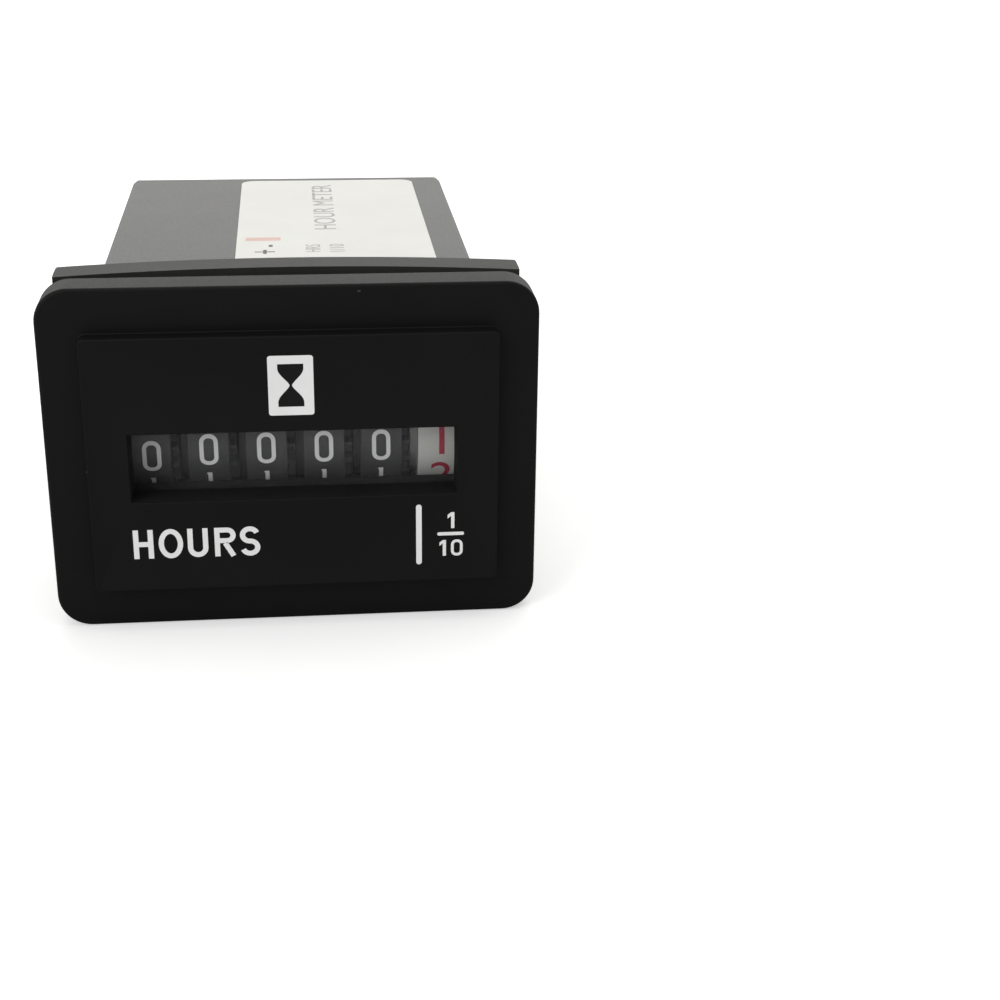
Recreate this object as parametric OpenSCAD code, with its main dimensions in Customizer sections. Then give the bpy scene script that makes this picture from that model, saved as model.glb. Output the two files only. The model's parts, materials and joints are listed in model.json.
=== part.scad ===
// Panel hour meter: snap-in case, six-wheel counter, stepper train and two blade terminals.
// Millimetres, X right, Y into the panel, Z up, origin on the panel seat behind the gasket.

/* [Bezel] */
// width of the flange
bezel_w = 43.6; // [42:0.1:50]
// height of the flange
bezel_h = 31.7; // [30:0.1:38]
// thickness of the flange
bezel_t = 3.6; // [2.8:0.05:4]
// corner radius of the flange
bezel_r = 3.0; // [2:0.1:4]
// rounding of the flange's front edge
bezel_edge_r = 0.3; // [0.25:0.05:0.95]
// depth of the step behind the flange
rabbet_t = 0.4; // [0.3:0.05:1]
// inset of the step behind the flange
rabbet_inset = 0.7; // [0.3:0.05:1.2]
// width of the raised panel
panel_w = 36.2; // [33:0.1:40]
// height of the raised panel
panel_h = 23.6; // [14:0.1:27]
// how far the raised panel stands out
panel_t = 1.6; // [1:0.05:2.2]
// width of the window
window_w = 29.0; // [26:0.1:30]
// height of the window
window_h = 6.35; // [5:0.05:7.5]
// depth of the lens behind the panel's front
window_depth = 2.9; // [2.2:0.05:3.2]

/* [Lens and gasket] */
// thickness of the lens
lens_t = 0.8; // [0.6:0.05:1]
// width of the gasket
gasket_w = 42.6; // [41:0.1:48]
// height of the gasket
gasket_h = 30.8; // [29:0.1:36]
// thickness of the gasket
gasket_t = 0.9; // [0.8:0.05:1.6]

/* [Case] */
// width of the case
case_w = 36.0; // [35.6:0.1:37.2]
// height of the case
case_h = 24.4; // [23.8:0.1:26]
// depth of the case from the panel seat to its seam
case_l = 55.0; // [54:0.5:70]
// wall of the case
case_wall = 1.5; // [1.4:0.05:1.7]
// corner radius of the case
case_r = 0.6; // [0.4:0.1:1.4]
// spacing of the ratchet grooves
groove_pitch = 2.05; // [1.6:0.05:2.4]
// depth of the ratchet grooves
groove_d = 0.4; // [0.2:0.05:0.6]
// number of ratchet grooves on a side
groove_n = 8; // [4:1:10]
// thickness of the rear cover
cover_t = 1.5; // [1.3:0.05:2.5]
// step in the rear cover below the terminals' ledge
cover_step = 1.0; // [0.5:0.05:1.1]

/* [Terminals] */
// distance between the blades' middles
tab_pitch = 18.0; // [16:0.5:19]
// width of a blade
tab_w = 6.3; // [4.8:0.1:6.3]
// thickness of a blade
tab_t = 0.8; // [0.5:0.1:0.8]
// width of a blade's shoulder
shoulder_w = 7.8; // [7:0.1:8.4]
// length of the shoulder behind the seam
shoulder_l = 7.5; // [5:0.1:10]
// length of the blade behind the shoulder
tab_l = 7.9; // [7:0.1:10]
// hole in a blade
tab_hole_d = 1.8; // [1.2:0.1:2.4]

/* [Clip] */
// gap between the clip and the case
clip_gap = 0.2; // [0.15:0.01:0.3]
// wall of the clip's collar at the sides
collar_side = 2.4; // [1.8:0.1:3]
// wall of the clip's collar above and below
collar_top = 1.6; // [1.5:0.1:2.6]
// height of the bowed strips above the case
strip_h = 3.45; // [3:0.05:5]
// how far the top of the strips drops towards the panel
strip_drop = 0.3; // [0.2:0.05:1.2]
// corner radius at the strips' ends
strip_r = 0.3; // [0.2:0.1:1]
// thickness of the bowed strips
strip_t = 2.2; // [1.6:0.05:2.6]
// width of the slots behind the strips
slot_t = 2.3; // [1.6:0.05:2.6]
// depth of the collar behind the slots
bar_t = 4.7; // [3.5:0.1:6]
// radius of the bow
bow_r = 97; // [80:1:140]
// room between the gasket and the strips' ends
clip_start = 0.25; // [0.2:0.05:2]
// length of the tongues behind the collar
tongue_l = 14.7; // [12:0.1:16]
// thickness of the tongues
tongue_t = 1.3; // [0.9:0.05:1.6]

/* [Counter] */
// radius of the number wheels
wheel_r = 6.2; // [5.9:0.05:6.4]
// radius of the wheels' shaft
shaft_r = 0.77; // [0.6:0.01:1]
// room between two rims for the carry pinion
carry_w = 1.49; // [1.3:0.01:1.8]
// module of the carry gears
carry_m = 0.52; // [0.5:0.01:0.54]
// module of the reduction gears
train_m = 0.3; // [0.27:0.01:0.31]
// thickness of the reduction gears
gear_t = 0.6; // [0.4:0.05:0.65]

/* [Hidden] */
$fn = 64;
// running clearance on shafts, gap of pressed or held parts, side play and room between still parts
run_gap = 0.03;
fit_gap = 0.02;
axial_gap = 0.1;
seat_gap = 0.2;
// how far a cutting shape reaches past what it cuts
past = 1;

// stations along the depth
y_back = -gasket_t;
y_flange = y_back - rabbet_t;
y_front = y_flange - bezel_t;
y_panel = y_front - panel_t;
y_lens = y_panel + window_depth;
lens_room = 0.7;
y_wheel = y_lens + lens_t + lens_room + wheel_r;
z_wheel = -0.1;
y_rear = case_l + cover_t;

// inside of the case
x_in = case_w / 2 - case_wall;
z_in = case_h / 2 - case_wall;

// counter frame
frame_gap = 0.15;
plate_t = 0.6;
floor_t = 0.8;
plate_out = x_in - frame_gap;
plate_in = plate_out - plate_t;
frame_y0 = 1.5;
plate_top = 5.5;
floor_z = -z_in + floor_t;

// gear planes, right to left
plane_gap = 0.5;
plane_step = gear_t + plane_gap;
x_p1 = plate_in - axial_gap - gear_t;
x_p2 = x_p1 - plane_step;
x_p3 = x_p2 - plane_step;
x_train = x_p3 - axial_gap - plate_t;
stator_t = 1.5;

// wheels along the shaft
first_gap = 0.93;
x_first = -plate_in + first_gap;
x_tenth_end = x_p1 - axial_gap;
wheel_pitch = (x_tenth_end - x_first + carry_w) / 6;
rim_w = wheel_pitch - carry_w;
half_carry = carry_w / 2 - axial_gap / 2;
pinion_shaft_r = 0.5;
arbor_r = 0.4;

// teeth
wheel_n = 20;
pinion_n = 8;
tenth_n = 32;
idler_n = 24;
second_small_n = 16;
second_n = 32;
first_n = 40;
addendum = 0.75;
dedendum = 1.05;
ring_gap = 0.12;
hub_r = 2;
web_x = 0.5;
y_pinion = y_wheel + carry_m * (wheel_n + pinion_n) / 2;
ring_r = y_pinion - y_wheel - carry_m * (pinion_n / 2 + addendum) - ring_gap;

// axes of the reduction train, each at a bearing from the one before
idler_dir = -35;
second_dir = 10;
first_dir = 25;
rotor_dir = 0;
idler_at = step_from([y_wheel, z_wheel], idler_dir, tenth_n + idler_n);
second_at = step_from(idler_at, second_dir, idler_n + second_small_n);
first_at = step_from(second_at, first_dir, second_n + pinion_n);
rotor_at = step_from(first_at, rotor_dir, first_n + pinion_n);
idler_phase = mesh_phase(0, tenth_n, idler_dir, idler_n);
second_phase = mesh_phase(idler_phase, idler_n, second_dir, second_small_n);
first_phase = mesh_phase(0, second_n, first_dir, pinion_n);
rotor_phase = mesh_phase(0, first_n, rotor_dir, pinion_n);
magnet_r = 2.0;

// motor
air_gap = 0.3;
pole_w = 1.9;
arm_w = 2.4;
yoke_w = 2.4;
bobbin_h = 7.4;
bobbin_wall = 0.5;
bobbin_gap = 0.05;
flange_t = 0.6;
winding_t = 1.1;
stator_hole_r = magnet_r + air_gap;
coil_reach = bobbin_gap + bobbin_wall + winding_t;
stator_y0 = rotor_at[0] - stator_hole_r - pole_w;
window_y0 = rotor_at[0] + stator_hole_r + pole_w;
window_y1 = window_y0 + coil_reach + 2 * air_gap + pole_w;
stator_y1 = window_y1 + yoke_w;
window_h_in = bobbin_h + axial_gap;
stator_z0 = rotor_at[1] - window_h_in / 2 - arm_w;
stator_z1 = rotor_at[1] + window_h_in / 2 + arm_w;
plate_lap = 1.5;

// board and terminals
z_tab = -7.5;
board_t = 1.0;
board_l = 8.5;
board_w = 28.0;
lip_l = 2.5;
board_gap = 0.3;
board_y1 = case_l - lip_l - board_gap;
board_y0 = board_y1 - board_l;
board_z = z_tab + tab_t / 2;
inner_tab_w = 5.0;
inner_tab_l = 8.3;
y_shoulder = case_l + shoulder_l;
y_tip = y_shoulder + tab_l;
tab_hole_inset = 3.6;
tab_hole_y = y_tip - tab_hole_inset;
post_w = 2.0;
post_l = 1.8;

// cover
ledge_z = -4.2;
chamfer_y = 2.1;
chamfer_z = 2.8;

// clip
clip_x = case_w / 2 + clip_gap;
clip_z = case_h / 2 + clip_gap;
clip_out = clip_x + collar_side;
bow_sag = bow_r - sqrt(bow_r * bow_r - clip_out * clip_out);
bow_y = clip_start + bow_sag - bow_r;
collar_y0 = bow_y + sqrt(pow(bow_r + strip_t + slot_t, 2) - clip_out * clip_out);
collar_y1 = bow_y + sqrt(pow(bow_r + strip_t + slot_t + bar_t, 2) - clip_out * clip_out);
web_w = 6.0;
web_fillet = 1.6;
foot_l = 1.2;
foot_t = 0.6;
side_y0 = 1.2;
tongue_z0 = -7.5;
tongue_z1 = 0.6;
pawl_h = 0.35;
pawl_w = 1.0;
pawl_n = 3;
pawl_inset = 0.6;
hinge_l = 3.3;
hinge_w = 0.6;
hinge_d = 0.4;
tongue_x = clip_x + pawl_h;
tongue_y1 = collar_y1 + tongue_l;
finger_z0 = 2.9;
finger_z1 = 5.0;
finger_l = 5.0;
finger_t = 1.4;

// grooves and pockets in the case's sides
groove_w = 1.1;
groove_y1 = 28.6;
groove_z0 = -7.3;
groove_z1 = 4.3;
pocket_y0 = 9.9;
pocket_y1 = 23.7;
pocket_z0 = 1.5;
pocket_z1 = 6.9;
pocket_d = 0.7;

label_t = 0.12;
label_x0 = -5.3;
label_x1 = 14.5;
label_y0 = 12.35;
label_inset = 0.8;
label_r = 1.5;

function step_from(at, dir, teeth) = at + train_m * teeth / 2 * [cos(dir), sin(dir)];

function mesh_phase(phase, n, dir, n_next) =
  dir + 180 + (0.5 - (phase - dir) * n / 360) * 360 / n_next;

// one tooth as polar points: radius and share of half a pitch
function tooth(m, n) = [[m * (n / 2 - dedendum), -0.9], [m * n / 2, -0.74], [m * (n / 2 + addendum), -0.4],
  [m * (n / 2 + addendum), 0.4], [m * n / 2, 0.74], [m * (n / 2 - dedendum), 0.9]];

module gear2d(m, n, phase) {
  polygon([for (i = [0:n - 1], p = tooth(m, n))
    p[0] * [cos(phase + (4 * i + p[1]) * 90 / n), sin(phase + (4 * i + p[1]) * 90 / n)]]);
}

// a flat shape drawn in depth and height, thick along X
module slab_x(x0, x1) {
  translate([x0, 0, 0]) rotate([90, 0, 90]) linear_extrude(x1 - x0) children();
}

// a flat shape drawn in width and height, thick along Y
module slab_y(y0, y1) {
  translate([0, y1, 0]) rotate([90, 0, 0]) linear_extrude(y1 - y0) children();
}

module rod_x(x0, x1, at, r) {
  translate([x0, at[0], at[1]]) rotate([0, 90, 0]) cylinder(r = r, h = x1 - x0);
}

module gear_x(x0, x1, at, m, n, phase) {
  slab_x(x0, x1) translate(at) gear2d(m, n, phase);
}

module box(a, b) {
  translate(a) cube(b - a);
}

module mirror_x() {
  children();
  mirror([1, 0, 0]) children();
}

module mirror_z() {
  children();
  mirror([0, 0, 1]) children();
}

module round_rect(w, h, r) {
  square([w - 2 * r, h], center = true);
  square([w, h - 2 * r], center = true);
  for (x = [-1, 1], y = [-1, 1]) translate([x * (w / 2 - r), y * (h / 2 - r)]) circle(r);
}

// outline of a plate's edge: square behind, rounded in front
module edge_outline() {
  square([bezel_r - bezel_edge_r, bezel_t]);
  square([bezel_r, bezel_t - bezel_edge_r]);
  translate([bezel_r - bezel_edge_r, bezel_t - bezel_edge_r]) circle(bezel_edge_r);
}

module flange() {
  span_x = bezel_w - 2 * bezel_r;
  span_z = bezel_h - 2 * bezel_r;
  translate([0, y_flange, 0]) rotate([90, 0, 0]) {
    translate([-span_x / 2, -span_z / 2, 0]) cube([span_x, span_z, bezel_t]);
    for (s = [0, 1]) mirror([0, s, 0])
      translate([-span_x / 2, span_z / 2, 0]) rotate([90, 0, 90]) linear_extrude(span_x) edge_outline();
    for (s = [0, 1]) mirror([s, 0, 0])
      translate([span_x / 2, span_z / 2, 0]) rotate([90, 0, 0]) linear_extrude(span_z) edge_outline();
    for (x = [-1, 1], y = [-1, 1]) translate([x * span_x / 2, y * span_z / 2, 0])
      rotate_extrude() edge_outline();
  }
}

module bezel() {
  panel_r = 0.5;
  wheel_room = 0.3;
  hook_x = 10;
  hook_w = 6;
  hook_t = 1.0;
  hook_z = z_in - seat_gap;
  color("#1c1c1b") difference() {
    union() {
      flange();
      slab_y(y_flange, y_back)
        round_rect(bezel_w - 2 * rabbet_inset, bezel_h - 2 * rabbet_inset, bezel_r - rabbet_inset);
      slab_y(y_panel, y_front) round_rect(panel_w, panel_h, panel_r);
      mirror_x() mirror_z()
        box([hook_x - hook_w / 2, y_back, hook_z - hook_t],
          [hook_x + hook_w / 2, frame_y0 - seat_gap, hook_z]);
    }
    slab_y(y_panel - past, y_back + past) translate([0, z_wheel]) square([window_w, window_h], center = true);
    rod_x(-plate_in, plate_in, [y_wheel, z_wheel], wheel_r + wheel_room);
  }
}

module lens() {
  lens_gap = 0.05;
  color("#d8e0e2") slab_y(y_lens, y_lens + lens_t) translate([0, z_wheel])
    square([window_w - 2 * lens_gap, window_h - 2 * lens_gap], center = true);
}

module gasket() {
  case_gap = 0.3;
  color("#141414") slab_y(y_back, 0) difference() {
    round_rect(gasket_w, gasket_h, bezel_r - rabbet_inset);
    round_rect(case_w + 2 * case_gap, case_h + 2 * case_gap, case_r + case_gap);
  }
}

// the sloped bottom edge shared by the case and its cover
module rear_chamfer() {
  y_end = y_rear - cover_step;
  slope = chamfer_z / chamfer_y;
  slab_x(-case_w, case_w) polygon([
    [y_end - chamfer_y - past, -case_h / 2 - past * slope],
    [y_end + past, -case_h / 2 + chamfer_z + past * slope],
    [y_end + past, -case_h / 2 - past * slope]]);
}

// a pointed tooth seen from above, pointing to -X from a root behind the wall's face
module tooth_cut(half, depth, root) {
  polygon([[root, -half], [0, -half], [-depth, 0], [0, half], [root, half]]);
}

module case() {
  color("#242423") difference() {
    slab_y(y_back, case_l) round_rect(case_w, case_h, case_r);
    slab_y(y_back - past, case_l + past) square([2 * x_in, 2 * z_in], center = true);
    rear_chamfer();
    mirror_x() {
      for (i = [0:groove_n - 1])
        translate([case_w / 2, groove_y1 - i * groove_pitch, groove_z0])
          linear_extrude(groove_z1 - groove_z0) tooth_cut(groove_w / 2, groove_d, past);
      box([case_w / 2 - pocket_d, pocket_y0, pocket_z0], [case_w / 2 + past, pocket_y1, pocket_z1]);
    }
  }
}

module rear_cover() {
  rim_inset = 0.1;
  color("#242423") difference() {
    union() {
      slab_y(case_l, y_rear) round_rect(case_w - 2 * rim_inset, case_h - 2 * rim_inset, case_r);
      slab_y(case_l - lip_l, case_l) square([2 * (x_in - seat_gap), 2 * (z_in - seat_gap)], center = true);
    }
    box([-case_w, y_rear - cover_step, -case_h], [case_w, y_rear + past, ledge_z]);
    rear_chamfer();
    mirror_x() translate([tab_pitch / 2, 0, z_tab]) slab_y(case_l - lip_l - past, y_rear + past)
      square([shoulder_w + axial_gap, tab_t + axial_gap], center = true);
  }
}

module label() {
  label_y1 = case_l - label_inset;
  color("#f2f2ee") translate([(label_x0 + label_x1) / 2, (label_y0 + label_y1) / 2, case_h / 2])
    linear_extrude(label_t) round_rect(label_x1 - label_x0, label_y1 - label_y0, label_r);
}

module terminal() {
  tip_x = 1.5;
  tip_y = 2.0;
  half = tab_w / 2;
  translate([0, 0, z_tab - tab_t / 2]) linear_extrude(tab_t) difference() {
    union() {
      translate([-inner_tab_w / 2, case_l - inner_tab_l]) square([inner_tab_w, inner_tab_l]);
      translate([-shoulder_w / 2, case_l - lip_l]) square([shoulder_w, lip_l + shoulder_l]);
      polygon([[-half, case_l], [half, case_l], [half, y_tip - tip_y],
        [half - tip_x, y_tip], [tip_x - half, y_tip], [-half, y_tip - tip_y]]);
    }
    translate([0, tab_hole_y]) circle(d = tab_hole_d);
  }
}

module terminal_left() {
  color("#b9b4a6") translate([-tab_pitch / 2, 0, 0]) terminal();
}

module terminal_right() {
  color("#b9b4a6") translate([tab_pitch / 2, 0, 0]) terminal();
}

// a band of the bow in plan, between two distances from its front line
module bow_band(d0, d1) {
  intersection() {
    translate([0, bow_y]) difference() {
      circle(bow_r + d1, $fn = 240);
      circle(bow_r + d0, $fn = 240);
    }
    translate([-clip_out, 0]) square([2 * clip_out, bow_r]);
  }
}

module clip_bow() {
  slot_y = bow_y + sqrt(pow(bow_r + strip_t + slot_t / 2, 2) - web_w * web_w / 4);
  depth = strip_t + slot_t + bar_t;
  intersection() {
    translate([0, bow_y, clip_z]) rotate_extrude($fn = 240) translate([bow_r, 0])
      polygon([[0, 0], [strip_t, 0], [strip_t, strip_h], [0, strip_h - strip_drop]]);
    slab_y(0, bow_r) round_rect(2 * clip_out, 2 * (clip_z + strip_h), strip_r);
  }
  translate([0, 0, clip_z]) {
    linear_extrude(foot_t) bow_band(depth - past, depth + foot_l);
    linear_extrude(collar_top) difference() {
      bow_band(0, depth);
      difference() {
        bow_band(strip_t, strip_t + slot_t);
        square([web_w, bow_r], center = true);
      }
      for (s = [-1, 1]) translate([s * (web_w / 2 + web_fillet / 2), slot_y]) circle(web_fillet);
    }
  }
}

module clip_side() {
  hinge_y = collar_y1 + hinge_l;
  tongue_out = tongue_x + tongue_t;
  box([clip_x, collar_y0, -clip_z - collar_top], [clip_out, collar_y1, clip_z + collar_top]);
  box([clip_x, side_y0, -clip_z + collar_top], [clip_out, collar_y0 + past, clip_z - collar_top]);
  box([clip_x, collar_y1 - past, finger_z0], [clip_x + finger_t, collar_y1 + finger_l, finger_z1]);
  difference() {
    box([tongue_x, collar_y1 - past, tongue_z0], [tongue_out, tongue_y1, tongue_z1]);
    box([tongue_out - hinge_d, hinge_y - hinge_w / 2, tongue_z0 - past],
      [tongue_out + past, hinge_y + hinge_w / 2, tongue_z1 + past]);
  }
  for (i = [0:pawl_n - 1]) translate([tongue_x, tongue_y1 - pawl_inset - i * groove_pitch, tongue_z0])
    linear_extrude(tongue_z1 - tongue_z0) tooth_cut(pawl_w / 2, pawl_h, tongue_t / 2);
}

module clip() {
  color("#20201f") {
    mirror_z() clip_bow();
    mirror_x() clip_side();
  }
}

module counter_frame() {
  rotor_lap = 3;
  pinion_lap = 2.5;
  floor_lap = 0.5;
  right_y1 = rotor_at[0] + rotor_lap;
  left_y1 = y_pinion + pinion_lap;
  floor_y1 = board_y0 + post_l + floor_lap;
  color("#2b2b2a") difference() {
    union() {
      box([-plate_out, frame_y0, -z_in], [plate_out, floor_y1, floor_z]);
      box([-plate_out, frame_y0, -z_in], [-plate_in, left_y1, plate_top]);
      box([plate_in, frame_y0, -z_in], [plate_out, right_y1, plate_top]);
      mirror_x()
        box([board_w / 2 - post_w, board_y0, floor_z - floor_t / 2],
          [board_w / 2, board_y0 + post_l, board_z]);
    }
    rod_x(-x_in, x_in, [y_wheel, z_wheel], shaft_r + fit_gap);
    rod_x(-x_in, x_in, [y_pinion, z_wheel], pinion_shaft_r + fit_gap);
    for (at = [idler_at, second_at, first_at]) rod_x(plate_in - past, x_in, at, arbor_r + fit_gap);
    rod_x(plate_in - past, x_in, rotor_at, arbor_r + run_gap);
  }
}

module train_plate() {
  x1 = x_train + plate_t;
  color("#c2b27a") difference() {
    box([x_train, second_at[0] - plate_lap, floor_z], [x1, window_y0, stator_z1]);
    rod_x(x_train - past, x1 + past, first_at, arbor_r + fit_gap);
    rod_x(x_train - past, x1 + past, rotor_at, arbor_r + run_gap);
  }
}

module wheel_shaft() {
  color("#b8babc") rod_x(-plate_out, plate_out, [y_wheel, z_wheel], shaft_r);
}

module pinion_shaft() {
  color("#b8babc") rod_x(-plate_out, plate_out, [y_pinion, z_wheel], pinion_shaft_r);
}

module gear_arbors() {
  head_r = 0.75;
  head_t = 0.2;
  color("#b8babc") {
    rod_x(x_p1 - axial_gap, plate_out, idler_at, arbor_r);
    rod_x(x_p1 - axial_gap - head_t, x_p1 - axial_gap, idler_at, head_r);
    rod_x(x_p2 - axial_gap, plate_out, second_at, arbor_r);
    rod_x(x_p2 - axial_gap - head_t, x_p2 - axial_gap, second_at, head_r);
    rod_x(x_train, plate_out, first_at, arbor_r);
  }
}

module number_wheel(i) {
  x0 = x_first + i * wheel_pitch;
  last = i == 5;
  hub_x0 = i == 0 ? -plate_in + axial_gap : x0 - half_carry;
  at = [y_wheel, z_wheel];
  difference() {
    union() {
      rod_x(x0, x0 + rim_w, at, wheel_r);
      rod_x(hub_x0, x0 + web_x, at, i == 0 ? hub_r : ring_r);
      if (last) rod_x(x0, x_p1 + axial_gap, at, hub_r);
      if (last) gear_x(x_p1, x_p1 + gear_t, at, train_m, tenth_n, 0);
      if (!last) gear_x(x0 + web_x, x0 + rim_w + half_carry, at, carry_m, wheel_n, 0);
    }
    rod_x(-case_w, case_w, at, shaft_r + run_gap);
  }
}

module carry_pinion(i) {
  x0 = x_first + i * wheel_pitch + rim_w + axial_gap;
  difference() {
    gear_x(x0, x0 + carry_w - 2 * axial_gap, [y_pinion, z_wheel], carry_m, pinion_n,
      mesh_phase(0, wheel_n, 0, pinion_n));
    rod_x(-case_w, case_w, [y_pinion, z_wheel], pinion_shaft_r + run_gap);
  }
}

module wheel_ten_thousands() {
  color("#161616") number_wheel(0);
}

module wheel_thousands() {
  color("#161616") number_wheel(1);
}

module wheel_hundreds() {
  color("#161616") number_wheel(2);
}

module wheel_tens() {
  color("#161616") number_wheel(3);
}

module wheel_units() {
  color("#161616") number_wheel(4);
}

module wheel_tenths() {
  color("#ecebe6") number_wheel(5);
}

module carry_ten_thousands() {
  color("#d9d6cc") carry_pinion(0);
}

module carry_thousands() {
  color("#d9d6cc") carry_pinion(1);
}

module carry_hundreds() {
  color("#d9d6cc") carry_pinion(2);
}

module carry_tens() {
  color("#d9d6cc") carry_pinion(3);
}

module carry_units() {
  color("#d9d6cc") carry_pinion(4);
}

module idler_gear() {
  color("#e3e0d4") difference() {
    gear_x(x_p1, x_p1 + gear_t, idler_at, train_m, idler_n, idler_phase);
    rod_x(x_p1 - past, x_p1 + gear_t + past, idler_at, arbor_r + run_gap);
  }
}

module second_gear() {
  color("#e3e0d4") difference() {
    union() {
      gear_x(x_p2, x_p2 + gear_t, second_at, train_m, second_n, 0);
      gear_x(x_p2 + gear_t / 2, x_p1 + gear_t, second_at, train_m, second_small_n, second_phase);
    }
    rod_x(x_p2 - past, x_p1 + gear_t + past, second_at, arbor_r + run_gap);
  }
}

module first_gear() {
  color("#e3e0d4") difference() {
    union() {
      gear_x(x_p3, x_p3 + gear_t, first_at, train_m, first_n, 0);
      gear_x(x_p3 + gear_t / 2, x_p2 + gear_t, first_at, train_m, pinion_n, first_phase);
    }
    rod_x(x_p3 - past, x_p2 + gear_t + past, first_at, arbor_r + run_gap);
  }
}

module rotor() {
  color("#6b6e70") {
    rod_x(x_train - stator_t, plate_out, rotor_at, arbor_r);
    rod_x(x_train - stator_t, x_train - axial_gap, rotor_at, magnet_r);
    gear_x(x_p3, x_p3 + gear_t, rotor_at, train_m, pinion_n, rotor_phase);
  }
}

module stator() {
  x0 = x_train - stator_t;
  color("#8d9092") difference() {
    box([x0, stator_y0, stator_z0], [x_train, stator_y1, stator_z1]);
    rod_x(x0 - past, x_train + past, rotor_at, stator_hole_r);
    box([x0 - past, window_y0, rotor_at[1] - window_h_in / 2],
      [x_train + past, window_y1, rotor_at[1] + window_h_in / 2]);
  }
}

// a box round the yoke, so far outside it and so tall
module yoke_sleeve(reach, z0, z1) {
  box([x_train - stator_t - reach, window_y1 - reach, z0], [x_train + reach, stator_y1 + reach, z1]);
}

module coil_bobbin() {
  z0 = rotor_at[1] - bobbin_h / 2;
  z1 = rotor_at[1] + bobbin_h / 2;
  color("#e8e4d8") difference() {
    union() {
      yoke_sleeve(bobbin_gap + bobbin_wall, z0, z1);
      yoke_sleeve(coil_reach, z0, z0 + flange_t);
      yoke_sleeve(coil_reach, z1 - flange_t, z1);
    }
    yoke_sleeve(bobbin_gap, z0 - past, z1 + past);
  }
}

module coil_winding() {
  z0 = rotor_at[1] - bobbin_h / 2 + flange_t;
  z1 = rotor_at[1] + bobbin_h / 2 - flange_t;
  color("#9a4b22") difference() {
    yoke_sleeve(coil_reach, z0, z1);
    yoke_sleeve(bobbin_gap + bobbin_wall, z0 - past, z1 + past);
  }
}

module circuit_board() {
  color("#2f5a3a") box([-board_w / 2, board_y0, board_z], [board_w / 2, board_y1, board_z + board_t]);
}

module driver_chip() {
  chip_x = -9;
  chip_w = 6;
  chip_l = 4;
  chip_h = 1.4;
  chip_inset = 2;
  at = [chip_x, board_y0 + chip_inset, board_z + board_t];
  color("#1a1a1a") box(at, at + [chip_w, chip_l, chip_h]);
}

module crystal() {
  can_r = 1.0;
  can_l = 6.0;
  can_x = 2.0;
  can_inset = 2.4;
  can_gap = 0.05;
  color("#c9cbcc")
    rod_x(can_x, can_x + can_l, [board_y0 + can_inset, board_z + board_t + can_r + can_gap], can_r);
}

module capacitor() {
  can_r = 2.0;
  can_h = 4.5;
  color("#24303f") translate([3 * can_r, board_y0 + 3 * can_r, board_z + board_t])
    cylinder(r = can_r, h = can_h);
}

bezel();
lens();
gasket();
case();
rear_cover();
label();
terminal_left();
terminal_right();
clip();
counter_frame();
train_plate();
wheel_shaft();
pinion_shaft();
gear_arbors();
wheel_ten_thousands();
wheel_thousands();
wheel_hundreds();
wheel_tens();
wheel_units();
wheel_tenths();
carry_ten_thousands();
carry_thousands();
carry_hundreds();
carry_tens();
carry_units();
idler_gear();
second_gear();
first_gear();
rotor();
stator();
coil_bobbin();
coil_winding();
circuit_board();
driver_chip();
crystal();
capacitor();
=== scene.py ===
"""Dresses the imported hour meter: softened mouldings, printed panel, number wheels, label and studio."""

import json
import math

import bpy
from mathutils import Matrix, Vector


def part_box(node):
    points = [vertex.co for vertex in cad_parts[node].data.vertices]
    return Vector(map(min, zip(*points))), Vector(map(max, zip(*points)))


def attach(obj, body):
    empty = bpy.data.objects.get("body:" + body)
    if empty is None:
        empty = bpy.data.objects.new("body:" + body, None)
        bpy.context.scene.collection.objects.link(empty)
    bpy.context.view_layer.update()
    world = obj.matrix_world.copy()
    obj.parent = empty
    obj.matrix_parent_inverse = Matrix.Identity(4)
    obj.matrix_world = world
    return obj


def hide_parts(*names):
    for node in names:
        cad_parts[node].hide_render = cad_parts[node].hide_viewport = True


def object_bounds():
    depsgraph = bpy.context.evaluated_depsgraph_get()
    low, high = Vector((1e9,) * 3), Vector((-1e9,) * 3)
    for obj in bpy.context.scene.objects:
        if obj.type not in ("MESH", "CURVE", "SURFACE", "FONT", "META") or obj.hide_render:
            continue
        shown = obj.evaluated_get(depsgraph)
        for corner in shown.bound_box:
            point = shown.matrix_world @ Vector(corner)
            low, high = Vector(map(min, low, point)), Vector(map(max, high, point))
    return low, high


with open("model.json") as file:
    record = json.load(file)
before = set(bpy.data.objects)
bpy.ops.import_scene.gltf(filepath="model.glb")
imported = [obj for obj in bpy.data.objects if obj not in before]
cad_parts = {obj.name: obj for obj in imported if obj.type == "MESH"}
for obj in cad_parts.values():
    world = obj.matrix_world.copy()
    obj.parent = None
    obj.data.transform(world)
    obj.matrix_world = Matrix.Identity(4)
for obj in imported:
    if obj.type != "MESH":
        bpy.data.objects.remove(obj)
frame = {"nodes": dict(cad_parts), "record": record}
cad_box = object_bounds()

MM = 0.001
BODY_OF = {node: body for body, nodes in frame["record"]["behaviour"]["bodies"].items() for node in nodes}
SLOT_OF = {part["node"]: part["material_slot"] for part in frame["record"]["subparts"]}


# handling of objects

def pick(obj):
    """Selects one object alone, in object mode."""
    if bpy.context.mode != "OBJECT":
        bpy.ops.object.mode_set(mode="OBJECT")
    bpy.ops.object.select_all(action="DESELECT")
    obj.select_set(True)
    bpy.context.view_layer.objects.active = obj


def clear_pick():
    """Leaves nothing selected, in object mode."""
    if bpy.context.mode != "OBJECT":
        bpy.ops.object.mode_set(mode="OBJECT")
    bpy.ops.object.select_all(action="DESELECT")


def added(name):
    """Names the object that was just made."""
    obj = bpy.context.active_object
    obj.name = name
    obj.data.name = name
    return obj


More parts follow.
